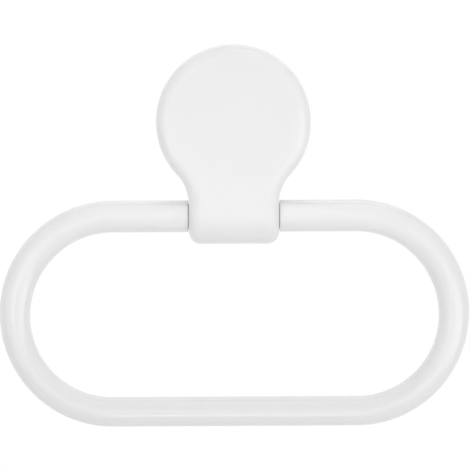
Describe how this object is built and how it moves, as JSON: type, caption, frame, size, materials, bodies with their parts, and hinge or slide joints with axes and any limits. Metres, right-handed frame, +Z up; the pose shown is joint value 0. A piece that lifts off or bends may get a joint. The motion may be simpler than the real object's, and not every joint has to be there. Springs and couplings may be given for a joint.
{
  "type": "towel ring",
  "caption": "Wall-fixed towel ring in white moulded plastic: a round cover with a hooked neck carries a closed oval ring that swings, and clicks over a hidden wall plate.",
  "frame": {"origin": "on the wall, behind the centre of the cover's disc", "axes": "+X to the right seen from the front, +Y into the wall, +Z up"},
  "size_m": [0.225, 0.0503, 0.1832],
  "materials": {
    "cover_plastic": "smooth semi-gloss white moulding",
    "ring_plastic": "smooth semi-gloss white moulding",
    "plate_plastic": "fine matt moulding",
    "screw_steel": "zinc-plated steel"
  },
  "bodies": {
    "holder": {"front_cover": "cover_plastic", "wall_plate": "plate_plastic", "wall_screws": "screw_steel"},
    "ring": {"towel_ring": "ring_plastic"}
  },
  "joints": [
    {"name": "ring_swing", "type": "hinge", "parent": "holder", "child": "ring", "pos_m": [0, -0.012, -0.0451], "axis": [-1, 0, 0], "range_deg": [-2.8, 182.8]}
  ]
}
